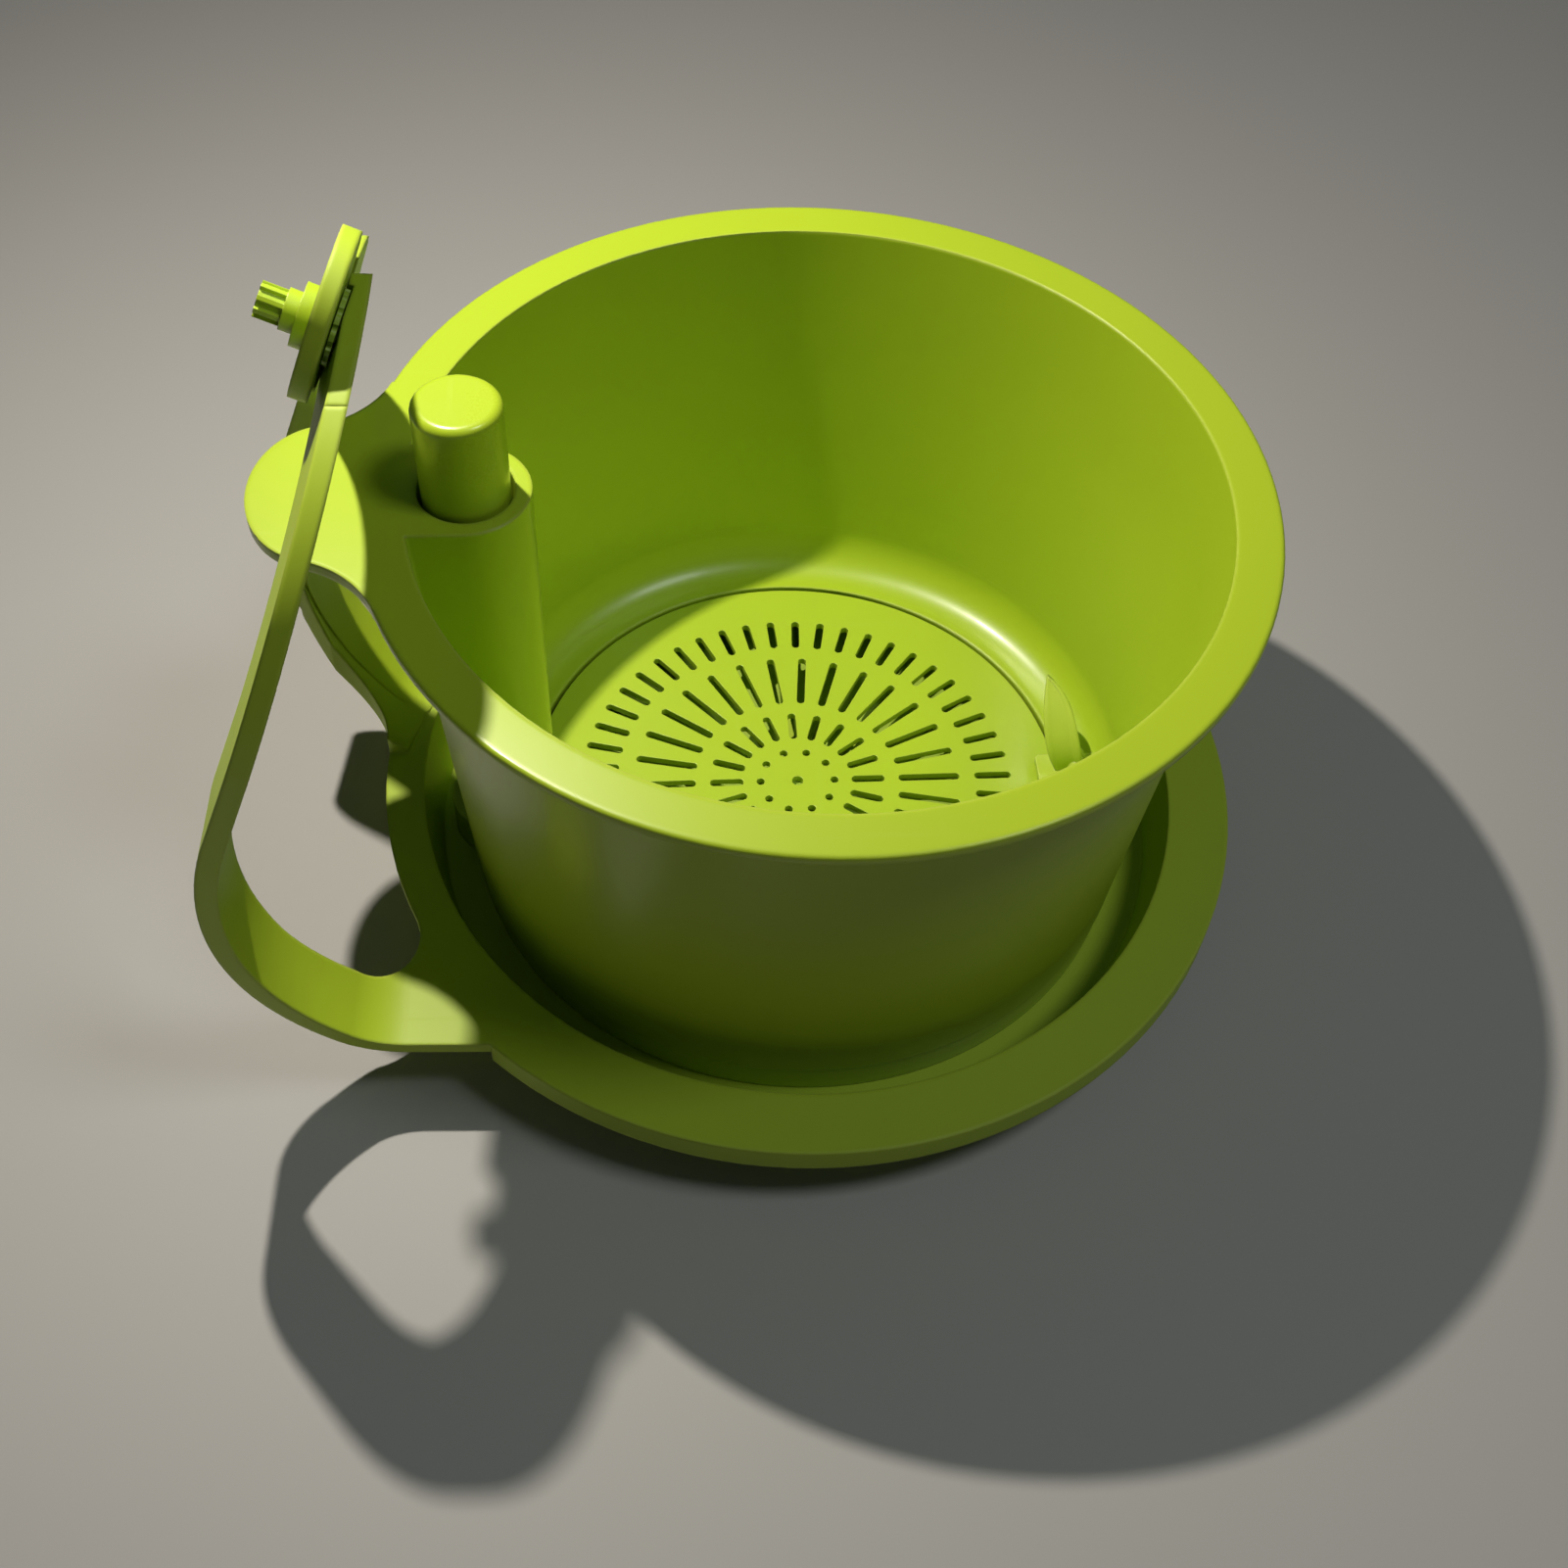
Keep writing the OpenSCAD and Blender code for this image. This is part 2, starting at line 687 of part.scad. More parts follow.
module tray_section() {
    edge_t = tray_t + 0.5;
    polygon([[0, foot_h], [tray_floor_r, foot_h], [flange_in_r + tray_t, flange_z - tray_t],
             [flange_r - edge_t, flange_z - tray_t], [flange_r - edge_t, flange_z - flange_edge],
             [flange_r, flange_z - flange_edge], [flange_r, flange_z],
             [flange_in_r, flange_z], [tray_floor_r, tray_floor_z], [0, tray_floor_z]]);
}

// Points of an arc in steps of about 3 degrees
function arc(x, z, r, a0, a1) = let (n = ceil(abs(a1 - a0) / 3))
    [for (i = [0 : n]) let (a = a0 + (a1 - a0) * i / n) [x + r * cos(a), z + r * sin(a)]];

// Sheet of the arms in side view: flat root, two bends, straight leaning part
function sheet_side(d, top_d) = concat(
    [[flange_in_r - 40, strap_z - d]],
    arc(bend_start, strap_z + bend_r1, bend_r1 + d, -90, bend_a1 - 90),
    arc(bend2_x, bend2_z, bend_r2 + d, bend_a1 - 90, bend_end - 90),
    [[straight_x + top_d * cos(lean) - sheet_len * sin(lean),
      straight_z + top_d * sin(lean) + sheet_len * cos(lean)]]);
module sheet_2d() {
    half = strap_t / 2;
    outer = sheet_side(half, strap_top_t - half);
    inner = sheet_side(-half, -half);
    polygon(concat(outer, [for (i = [len(inner) - 1 : -1 : 0]) inner[i]]));
}

// Arch in front view, half width hw at the legs, crown at height top;
// each leg bows inwards by shift at the flange
module arch_2d(hw, top, shift) {
    bow = (pow(leg_z - flange_z, 2) + shift * shift) / (2 * shift);
    translate([0, top - hw]) circle(hw, $fn = 180);
    translate([-hw, leg_z]) square([2 * hw, top - hw - leg_z]);
    intersection() {
        translate([-hw, -1]) square([2 * hw, leg_z + 1 + e]);
        translate([hw - bow, leg_z]) circle(bow, $fn = 720);
        translate([bow - hw, leg_z]) circle(bow, $fn = 720);
    }
}

// The part of the looped sheet inside a front-view window
module strap() {
    difference() {
        intersection() {
            rotate([90, 0, 0]) linear_extrude(300, center = true) sheet_2d();
            translate([0, loop_offset, 0]) rotate([90, 0, 90]) linear_extrude(220) intersection() {
                difference() {
                    arch_2d(loop_half_w, loop_top, leg_shift);
                    arch_2d(loop_half_w - strap_w, loop_top - crown_w, leg_shift - leg_taper);
                }
                children();
            }
        }
        translate([0, 0, -e]) cylinder(r = flange_in_r + 3, h = 90, $fn = 180);
    }
}

// Front-view window over the tip of the front arm
module tip_window() {
    centre_z = loop_top - loop_half_w;
    far = 2 * loop_half_w;
    translate([0, centre_z]) intersection() {
        translate([-arm_end, 0]) square([far, far]);
        polygon([[-far, 0], [0, 0], far * [sin(tip_angle), cos(tip_angle)], [0, far], [-far, far]]);
    }
}

module front_arm() {
    difference() {
        strap() difference() {
            translate([0, -1]) square([2 * loop_half_w, 2 * loop_top]);
            tip_window();
        }
        tip_tongue();
    }
}

// Tongue that plugs the tip into the front arm
module tip_tongue() {
    r = loop_half_w - crown_w / 2;
    z = loop_top - loop_half_w + r * cos(tip_angle);
    x = straight_x - (z - straight_z) * tan(lean) - 0.4;
    translate([x, loop_offset + r * sin(tip_angle), z]) rotate([0, -lean, 0])
        rotate([-tip_angle, 0, 0]) translate([-1, -2, -6]) cube([2, 9, 12]);
}

module arm_tip() {
    color(lime) loop_frame() difference() {
        union() {
            strap() tip_window();
            tip_tongue();
        }
        rear_arm();
        rear_frame() at_hub(-20) cylinder(r = spindle_r + run_gap, h = 30);
        rear_frame() at_hub(pinion_z - hub_gap) cylinder(r = pinion_r + 1.2, h = 10);
    }
}

// Swings the rear arm out over the front arm
module rear_frame() {
    translate([splay_x, splay_y, 0]) rotate(-splay) translate([-splay_x, -splay_y, 0]) children();
}

module at_hub(z) {
    translate([hub_x, loop_offset, hub_z]) rotate([0, 90 - lean, 0]) translate([0, 0, z]) children();
}

// Middle of the eye's outline, a little further up the arm than the hub's axis
module at_eye(z) {
    at_hub(z) translate([-eye_rise, 0, 0]) children();
}

// Rear arm with the eye at its end
module rear_arm() {
    rear_frame() difference() {
        union() {
            strap() translate([-2 * loop_half_w, -1]) square([2 * loop_half_w, 2 * loop_top]);
            at_eye(-eye_t / 2) cylinder(r = eye_r, h = eye_t);
        }
        at_eye(eye_t / 2) cylinder(r = eye_r + 6, h = 10);
        at_eye(-10 - eye_t / 2) cylinder(r = eye_r + 2, h = 10);
        at_hub(-10) cylinder(r = hub_bush_r, h = 20);
    }
}

module base_tray() {
    color(lime) loop_frame() {
        difference() {
            rotate_extrude($fn = 180) tray_section();
            // the flange is narrower between the legs of the loop
            translate([0, 0, flange_z - flange_edge - 1]) linear_extrude(flange_edge + 2) difference() {
                translate([flange_in_r - 40, loop_offset - root_out])
                    square([80, 2 * root_out]);
                circle(flange_in_r + narrow_w, $fn = 180);
            }
        }
        tray_ring();
        front_arm();
        rear_arm();
        root_fillets();
    }
}

// Fillets between the flange and the inner edges of the legs, bent up with the legs
module root_fillets() {
    narrow_r = flange_in_r + narrow_w;
    intersection() {
        rotate([90, 0, 0]) linear_extrude(300, center = true) sheet_2d();
        linear_extrude(90) for (s = [-1, 1]) {
            run = s > 0 ? 16 : 8;
            swell = s > 0 ? root_swell + 1.5 : root_swell + 3.5;
            y = loop_offset + s * (root_in - root_swell - root_fillet);
            c = [sqrt(pow(narrow_r + root_fillet, 2) - y * y), y];
            difference() {
                polygon([c + [0, s * root_fillet], c + [run, s * (root_fillet + swell)],
                         [narrow_r - 12, y + s * (root_fillet + swell)],
                         c * (narrow_r - 6) / norm(c), c * narrow_r / norm(c)]);
                translate(c) circle(root_fillet);
            }
        }
    }
}

// Ring that keeps the bowl's skirt centred
module tray_ring() {
    translate([0, 0, tray_floor_z - e]) tube(inner_r(bowl_foot_z) - 1, inner_r(bowl_foot_z) - 3.5, 1.2);
}

// Non-slip pad under the tray, with ring grooves in its foot
module rubber_base() {
    pad_r = tray_floor_r - 6;
    color([0.12, 0.12, 0.12]) rotate_extrude($fn = 180) difference() {
        square([pad_r, foot_h]);
        for (r = [pad_r - 8, pad_r - 16, pad_r - 24]) translate([r, -e]) square([3, 0.8]);
    }
}

// Hub between the arms -----------------------------------------------------------------

module hub_bush() {
    color(lime_dark) loop_frame() rear_frame() at_hub(-eye_t / 2)
        tube(hub_bush_r, spindle_r + run_gap, eye_t);
}

module hub_pinion() {
    color(lime_dark) loop_frame() rear_frame() at_hub(pinion_z) linear_extrude(pinion_t) difference() {
        circle(pinion_r);
        for (i = [0 : pinion_teeth - 1]) rotate(i * 360 / pinion_teeth)
            translate([pinion_r + 0.4, 0]) circle(1.2, $fn = 24);
        circle(spindle_r);
    }
}

module hub_spindle() {
    step1 = 3;
    step2 = 3.2;
    foot = -8.4;
    collar_z = eye_t / 2 + hub_gap;
    color(lime) loop_frame() rear_frame() {
        at_hub(foot) cylinder(r = spindle_r, h = collar_z - foot + e);
        at_hub(collar_z) difference() {
            union() {
                cylinder(r = collar_flange_r, h = step1);
                cylinder(r = 4.9, h = step1 + step2);
                linear_extrude(step1 + step2 + spline_len) {
                    circle(spline_r - 0.9);
                    for (i = [0 : splines - 1]) rotate(i * 360 / splines)
                        translate([spline_r - 1.2, -0.6]) square([1.2, 1.2]);
                }
            }
            translate([0, 0, step1 + step2]) cylinder(r = spline_r - 2.2, h = spline_len + 1);
        }
    }
}

bowl();
strainer_disc();
centre_gear();
centre_bush();
centre_spindle();
idler_gear();
idler_pin();
drive_gear();
clutch_rotor();
spiral_rod();
rod_bush();
spring_seat();
return_spring();
spiral_nut();
plunger_knob();
gear_chassis();
chassis_screws();
disc_latch();
latch_pin();
base_tray();
rubber_base();
arm_tip();
hub_bush();
hub_pinion();
hub_spindle();
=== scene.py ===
"""Looks of a plunger salad spinner: satin lime plastic, acetal gears, steel and brass fittings."""

import math

import bmesh
import bpy
from mathutils import Matrix, Vector


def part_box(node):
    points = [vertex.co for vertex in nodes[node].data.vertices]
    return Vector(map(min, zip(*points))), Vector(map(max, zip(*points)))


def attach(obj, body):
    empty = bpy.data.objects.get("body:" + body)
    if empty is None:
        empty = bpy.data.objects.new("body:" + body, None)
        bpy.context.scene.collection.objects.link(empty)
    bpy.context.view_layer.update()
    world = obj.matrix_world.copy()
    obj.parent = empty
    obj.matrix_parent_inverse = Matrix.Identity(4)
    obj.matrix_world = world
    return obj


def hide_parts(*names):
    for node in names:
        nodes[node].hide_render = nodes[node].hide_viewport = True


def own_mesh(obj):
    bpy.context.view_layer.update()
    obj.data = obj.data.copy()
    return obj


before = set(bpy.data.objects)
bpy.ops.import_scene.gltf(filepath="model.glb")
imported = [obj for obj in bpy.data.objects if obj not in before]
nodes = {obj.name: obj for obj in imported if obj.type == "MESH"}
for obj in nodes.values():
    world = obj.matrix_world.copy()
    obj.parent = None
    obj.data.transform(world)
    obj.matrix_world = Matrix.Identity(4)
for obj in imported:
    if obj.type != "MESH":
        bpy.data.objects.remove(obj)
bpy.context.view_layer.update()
scene = bpy.context.scene

MM = 0.001
# points nearer than this are one point: in a new mesh, and in a CAD node or a cut piece
SAME_POINT = 1e-7
WELD = 1e-6


# ---------------------------------------------------------------- colours, in linear light

LIME = (0.430, 0.582, 0.026)
LIME_DEEP = (0.348, 0.505, 0.017)
# pale lime, painted along sharp edges as a painted highlight
LIME_PALE = (0.650, 0.770, 0.140)
# the latch finger is the same lime plastic painted lighter, as if lit: painted light; its pale
# colour is a painted highlight along its edges
LATCH_LIT_LIME = (0.540, 0.680, 0.075)
LATCH_LIT_LIME_DEEP = (0.470, 0.615, 0.045)
LATCH_HIGHLIGHT_PALE = (0.760, 0.840, 0.300)
ACETAL = (0.360, 0.520, 0.045)
ACETAL_DEEP = (0.270, 0.420, 0.025)
ACETAL_PALE = (0.520, 0.660, 0.140)
STEEL = (0.560, 0.565, 0.575)
STEEL_DEEP = (0.430, 0.435, 0.450)
STEEL_PALE = (0.760, 0.765, 0.775)
BRASS = (0.560, 0.400, 0.140)
BRASS_DEEP = (0.420, 0.285, 0.085)
BRASS_PALE = (0.760, 0.600, 0.300)
RUBBER = (0.022, 0.022, 0.023)
RUBBER_DEEP = (0.012, 0.012, 0.013)
RUBBER_PALE = (0.070, 0.070, 0.072)


# ---------------------------------------------------------------- shared node groups

# how much of each effect reaches a moulded skin's colour, roughness and relief
EDGE_PALE = 0.55
CLOUD_ROUGH, RUB_ROUGH, FINE_ROUGH = 0.05, 0.14, 0.05
FINE_RELIEF, RUB_RELIEF = 0.5, 0.35
# turn about Z and stretch of the two sets of rubbing marks, and the tilt that both have
RUB_TURNS = ((0.5, (9.0, 260.0, 40.0)), (2.0, (240.0, 12.0, 60.0)))
RUB_TILT = (0.2, 0.1)
# the same for turned metal, whose lines run round Z
STAIN_DEEP, STAIN_ROUGH, LINE_ROUGH = 0.6, 0.12, 0.10
LATHE_STRETCH = (0.02, 0.02, 1.0)

IOR = 1.5
COAT_ROUGHNESS = 0.12


def new_group(name, inputs, outputs):
    """An empty shader group. inputs are (name, kind, default), outputs (name, kind)."""
    group = bpy.data.node_groups.new(name, "ShaderNodeTree")
    for label, kind, default in inputs:
        socket = group.interface.new_socket(label, in_out="INPUT", socket_type=kind)
        socket.default_value = default
    for label, kind in outputs:
        group.interface.new_socket(label, in_out="OUTPUT", socket_type=kind)
    return group, group.nodes.new("NodeGroupInput"), group.nodes.new("NodeGroupOutput")


def feed(tree, value, socket):
    """Links a socket to this input, or sets the input to a number."""
    if isinstance(value, bpy.types.NodeSocket):
        tree.links.new(value, socket)
    else:
        socket.default_value = value


def math_node(tree, operation, *values, clamp=False):
    """A Math node on sockets or numbers; the output socket comes back."""
    node = tree.nodes.new("ShaderNodeMath")
    node.operation = operation
    node.use_clamp = clamp
    for slot, value in enumerate(values):
        feed(tree, value, node.inputs[slot])
    return node.outputs[0]


def mix(tree, kind, factor, a, b):
    """A Mix node of kind FLOAT or RGBA; the output socket comes back."""
    first, out = {"FLOAT": (2, 0), "RGBA": (6, 2)}[kind]
    node = tree.nodes.new("ShaderNodeMix")
    node.data_type = kind
    for slot, value in ((0, factor), (first, a), (first + 1, b)):
        feed(tree, value, node.inputs[slot])
    return node.outputs[out]


def noise(tree, vector, scale, detail, rough):
    """A noise texture on a vector socket. scale is a socket or a number; the value comes back."""
    node = tree.nodes.new("ShaderNodeTexNoise")
    tree.links.new(vector, node.inputs["Vector"])
    for label, value in (("Scale", scale), ("Detail", detail), ("Roughness", rough)):
        feed(tree, value, node.inputs[label])
    return node.outputs[0]


def remap(tree, value, low, high, to_low=0.0, to_high=1.0):
    """Map Range with clamping; the output socket comes back."""
    node = tree.nodes.new("ShaderNodeMapRange")
    node.clamp = True
    for slot, number in enumerate((value, low, high, to_low, to_high)):
        feed(tree, number, node.inputs[slot])
    return node.outputs[0]


def edge_group():
    """Rounded normals and a mask of the sharp edges."""
    group, gin, gout = new_group(
        "edge_break",
        [("Radius", "NodeSocketFloat", 0.0006), ("Patchiness", "NodeSocketFloat", 0.5)],
        [("Mask", "NodeSocketFloat"), ("Normal", "NodeSocketVector")])
    link = group.links.new
    bevel = group.nodes.new("ShaderNodeBevel")
    bevel.samples = 6
    link(gin.outputs["Radius"], bevel.inputs["Radius"])
    geometry = group.nodes.new("ShaderNodeNewGeometry")
    dot = group.nodes.new("ShaderNodeVectorMath")
    dot.operation = "DOT_PRODUCT"
    link(bevel.outputs[0], dot.inputs[0])
    link(geometry.outputs["Normal"], dot.inputs[1])
    bend = remap(group, dot.outputs["Value"], low=0.985, high=0.80)
    coord = group.nodes.new("ShaderNodeTexCoord").outputs["Object"]
    blotches = noise(group, coord, scale=130.0, detail=4.0, rough=0.6)
    patch = remap(group, blotches, low=0.35, high=0.65, to_low=0.25)
    kept = mix(group, "FLOAT", gin.outputs["Patchiness"], 1.0, patch)
    link(math_node(group, "MULTIPLY", bend, kept, clamp=True), gout.inputs["Mask"])
    link(bevel.outputs[0], gout.inputs["Normal"])
    return group


def moulded_group():
    """Injection-moulded plastic: faint cloudy colour, satin texture, fine rubbing marks."""
    group, gin, gout = new_group(
        "moulded_skin",
        [("Colour", "NodeSocketColor", (*LIME, 1)), ("Deep", "NodeSocketColor", (*LIME_DEEP, 1)),
         ("Pale", "NodeSocketColor", (*LIME_PALE, 1)), ("Edge", "NodeSocketFloat", 0.0),
         ("Cloud Scale", "NodeSocketFloat", 16.0), ("Cloud Amount", "NodeSocketFloat", 0.4),
         ("Texture Scale", "NodeSocketFloat", 1500.0), ("Gloss", "NodeSocketFloat", 0.34),
         ("Rub", "NodeSocketFloat", 0.5)],
        [("Colour", "NodeSocketColor"), ("Roughness", "NodeSocketFloat"),
         ("Height", "NodeSocketFloat")])
    link = group.links.new
    coord = group.nodes.new("ShaderNodeTexCoord").outputs["Object"]
    cloud = noise(group, coord, gin.outputs["Cloud Scale"], detail=2.0, rough=0.45)
    cloud = remap(group, cloud, low=0.35, high=0.70)
    deep = math_node(group, "MULTIPLY", cloud, gin.outputs["Cloud Amount"], clamp=True)
    colour = mix(group, "RGBA", deep, gin.outputs["Colour"], gin.outputs["Deep"])
    # sharp edges are painted paler towards the pale colour: a painted highlight along them
    painted_edge_highlight = math_node(group, "MULTIPLY", gin.outputs["Edge"], EDGE_PALE, clamp=True)
    colour = mix(group, "RGBA", painted_edge_highlight, colour, gin.outputs["Pale"])
    # long faint rubbing marks, in two directions
    marks = []
    for turn, stretch in RUB_TURNS:
        mapping = group.nodes.new("ShaderNodeMapping")
        mapping.inputs["Rotation"].default_value = (*RUB_TILT, turn)
        mapping.inputs["Scale"].default_value = stretch
        link(coord, mapping.inputs["Vector"])
        streaks = noise(group, mapping.outputs[0], scale=1.0, detail=3.0, rough=0.7)
        marks.append(remap(group, streaks, low=0.60, high=0.78))
    rub = math_node(group, "MULTIPLY", math_node(group, "MAXIMUM", *marks),
                    gin.outputs["Rub"], clamp=True)
    fine = noise(group, coord, gin.outputs["Texture Scale"], detail=2.0, rough=0.6)
    # clouds roughen or smooth the surface by turns, rubbing and texture only roughen it
    clouds = math_node(group, "SUBTRACT", cloud, 0.5)
    rough = math_node(group, "MULTIPLY_ADD", clouds, CLOUD_ROUGH, gin.outputs["Gloss"])
    rough = math_node(group, "MULTIPLY_ADD", rub, RUB_ROUGH, rough)
    rough = math_node(group, "MULTIPLY_ADD", fine, FINE_ROUGH, rough, clamp=True)
    height = math_node(group, "SUBTRACT", math_node(group, "MULTIPLY", fine, FINE_RELIEF),
                       math_node(group, "MULTIPLY", rub, RUB_RELIEF))
    link(colour, gout.inputs["Colour"])
    link(rough, gout.inputs["Roughness"])
    link(height, gout.inputs["Height"])
    return group


def turned_group():
    """Turned or drawn metal: fine lines round the axis, stains and bright edges."""
    group, gin, gout = new_group(
        "turned_metal",
        [("Colour", "NodeSocketColor", (*STEEL, 1)), ("Deep", "NodeSocketColor", (*STEEL_DEEP, 1)),
         ("Pale", "NodeSocketColor", (*STEEL_PALE, 1)), ("Edge", "NodeSocketFloat", 0.0),
         ("Line Scale", "NodeSocketFloat", 2600.0), ("Gloss", "NodeSocketFloat", 0.28)],
        [("Colour", "NodeSocketColor"), ("Roughness", "NodeSocketFloat"),
         ("Height", "NodeSocketFloat")])
    link = group.links.new
    coord = group.nodes.new("ShaderNodeTexCoord").outputs["Object"]
    mapping = group.nodes.new("ShaderNodeMapping")
    mapping.inputs["Scale"].default_value = LATHE_STRETCH
    link(coord, mapping.inputs["Vector"])
    lines = noise(group, mapping.outputs[0], gin.outputs["Line Scale"], detail=2.0, rough=0.6)
    stain = noise(group, coord, scale=180.0, detail=4.0, rough=0.6)
    stain = remap(group, stain, low=0.4, high=0.7)
    deep = math_node(group, "MULTIPLY", stain, STAIN_DEEP, clamp=True)
    colour = mix(group, "RGBA", deep, gin.outputs["Colour"], gin.outputs["Deep"])
    colour = mix(group, "RGBA", gin.outputs["Edge"], colour, gin.outputs["Pale"])
    rough = math_node(group, "MULTIPLY_ADD", stain, STAIN_ROUGH, gin.outputs["Gloss"])
    rough = math_node(group, "MULTIPLY_ADD", lines, LINE_ROUGH, rough, clamp=True)
    link(colour, gout.inputs["Colour"])
    link(rough, gout.inputs["Roughness"])
    link(lines, gout.inputs["Height"])
    return group


EDGES = edge_group()
MOULDED = moulded_group()
TURNED = turned_group()


# ---------------------------------------------------------------- materials

def finish_material(name, group, colours, values, edge_radius, bump, metallic=0.0, coat=0.0,
                    patchiness=0.5):
    """A Principled material fed by a skin group and the edge group, with lengths in metres."""
    material = bpy.data.materials.new(name)
    material.use_nodes = True
    tree = material.node_tree
    tree.nodes.clear()
    link = tree.links.new
    out = tree.nodes.new("ShaderNodeOutputMaterial")
    shader = tree.nodes.new("ShaderNodeBsdfPrincipled")
    edges = tree.nodes.new("ShaderNodeGroup")
    edges.node_tree = EDGES
    edges.inputs["Radius"].default_value = edge_radius
    edges.inputs["Patchiness"].default_value = patchiness
    skin = tree.nodes.new("ShaderNodeGroup")
    skin.node_tree = group
    for label, rgb in zip(("Colour", "Deep", "Pale"), colours):
        skin.inputs[label].default_value = (*rgb, 1)
    for label, value in values.items():
        skin.inputs[label].default_value = value
    link(edges.outputs["Mask"], skin.inputs["Edge"])
    link(skin.outputs["Colour"], shader.inputs["Base Color"])
    link(skin.outputs["Roughness"], shader.inputs["Roughness"])
    relief = tree.nodes.new("ShaderNodeBump")
    relief.inputs["Distance"].default_value = bump
    link(skin.outputs["Height"], relief.inputs["Height"])
    link(edges.outputs["Normal"], relief.inputs["Normal"])
    link(relief.outputs[0], shader.inputs["Normal"])
    shader.inputs["Metallic"].default_value = metallic
    shader.inputs["IOR"].default_value = IOR
    shader.inputs["Coat Weight"].default_value = coat
    shader.inputs["Coat Roughness"].default_value = COAT_ROUGHNESS
    link(shader.outputs[0], out.inputs[0])
    return material


lime_set = (LIME, LIME_DEEP, LIME_PALE)
bowl_plastic = finish_material(
    "bowl_plastic", MOULDED, lime_set,
    {"Cloud Scale": 11.0, "Cloud Amount": 0.30, "Gloss": 0.30, "Rub": 0.45},
    edge_radius=0.0018, bump=0.000010, coat=0.12)
tray_plastic = finish_material(
    "tray_plastic", MOULDED, lime_set,
    {"Cloud Scale": 9.0, "Cloud Amount": 0.34, "Gloss": 0.50, "Rub": 0.55},
    edge_radius=0.0016, bump=0.000012, coat=0.02)
disc_plastic = finish_material(
    "disc_plastic", MOULDED, lime_set,
    {"Cloud Scale": 18.0, "Cloud Amount": 0.28, "Gloss": 0.33, "Rub": 0.65},
    edge_radius=0.0005, bump=0.000010, coat=0.08)
knob_plastic = finish_material(
    "knob_plastic", MOULDED, lime_set,
    {"Cloud Scale": 30.0, "Cloud Amount": 0.20, "Gloss": 0.27, "Rub": 0.70},
    edge_radius=0.0008, bump=0.000008, coat=0.20)
small_plastic = finish_material(
    "small_plastic", MOULDED, lime_set,
    {"Cloud Scale": 60.0, "Cloud Amount": 0.25, "Gloss": 0.34, "Rub": 0.40},
    edge_radius=0.0004, bump=0.000008, coat=0.08)
# the latch finger: lime painted lighter, as if lit, with a painted highlight along its edges
latch_painted_lit = finish_material(
    "latch_painted_lit", MOULDED, (LATCH_LIT_LIME, LATCH_LIT_LIME_DEEP, LATCH_HIGHLIGHT_PALE),
    {"Cloud Scale": 60.0, "Cloud Amount": 0.15, "Gloss": 0.28, "Rub": 0.40},
    edge_radius=0.0007, bump=0.000008, coat=0.15, patchiness=0.1)
gear_acetal = finish_material(
    "gear_acetal", MOULDED, (ACETAL, ACETAL_DEEP, ACETAL_PALE),
    {"Cloud Scale": 40.0, "Cloud Amount": 0.35, "Gloss": 0.42, "Rub": 0.60},
    edge_radius=0.0003, bump=0.000010)
chassis_plastic = finish_material(
    "chassis_plastic", MOULDED, (ACETAL, ACETAL_DEEP, ACETAL_PALE),
    {"Cloud Scale": 14.0, "Cloud Amount": 0.40, "Gloss": 0.48, "Rub": 0.40,
     "Texture Scale": 1000.0}, edge_radius=0.0005, bump=0.000016)
rod_steel = finish_material(
    "rod_steel", TURNED, (STEEL, STEEL_DEEP, STEEL_PALE),
    {"Line Scale": 2600.0, "Gloss": 0.24}, edge_radius=0.0003, bump=0.000004, metallic=1.0)
spring_steel = finish_material(
    "spring_steel", TURNED, (STEEL, STEEL_DEEP, STEEL_PALE),
    {"Line Scale": 900.0, "Gloss": 0.20}, edge_radius=0.0001, bump=0.000002, metallic=1.0)
bush_brass = finish_material(
    "bush_brass", TURNED, (BRASS, BRASS_DEEP, BRASS_PALE),
    {"Line Scale": 2000.0, "Gloss": 0.30}, edge_radius=0.0003, bump=0.000004, metallic=1.0)
pad_rubber = finish_material(
    "pad_rubber", MOULDED, (RUBBER, RUBBER_DEEP, RUBBER_PALE),
    {"Cloud Scale": 20.0, "Cloud Amount": 0.50, "Gloss": 0.72, "Rub": 0.30,
     "Texture Scale": 1200.0}, edge_radius=0.0004, bump=0.000020)

FINISHES = {
    bowl_plastic: ["bowl"],
    tray_plastic: ["base_tray", "arm_tip"],
    disc_plastic: ["strainer_disc"],
    knob_plastic: ["plunger_knob"],
    small_plastic: ["hub_spindle", "clutch_rotor"],
    latch_painted_lit: ["disc_latch"],
    gear_acetal: ["centre_gear", "idler_gear", "drive_gear", "hub_pinion", "hub_bush"],
    chassis_plastic: ["gear_chassis"],
    rod_steel: ["centre_spindle", "idler_pin", "spiral_rod", "spring_seat", "chassis_screws",
                "latch_pin"],
    spring_steel: ["return_spring"],
    bush_brass: ["centre_bush", "rod_bush", "spiral_nut"],
    pad_rubber: ["rubber_base"],
}
for material, names in FINISHES.items():
    for name in names:
        nodes[name].data.materials.clear()
        nodes[name].data.materials.append(material)


# ---------------------------------------------------------------- tools for joined and cut pieces

def add_object(name, data):
    """A new object at the origin, linked to the scene."""
    made = bpy.data.objects.new(name, data)
    scene.collection.objects.link(made)
    return made


def clean(mesh, same, outwards=False, flat=None):
    """Merges points nearer than same. It can also turn faces outwards, and join flat triangles."""
    shape = bmesh.new()
    shape.from_mesh(mesh)
    bmesh.ops.remove_doubles(shape, verts=shape.verts, dist=same)
    if outwards:
        bmesh.ops.recalc_face_normals(shape, faces=shape.faces)
    if flat:
        bmesh.ops.dissolve_limit(shape, angle_limit=math.radians(flat), verts=shape.verts,
                                 edges=shape.edges)
    shape.to_mesh(mesh)
    shape.free()


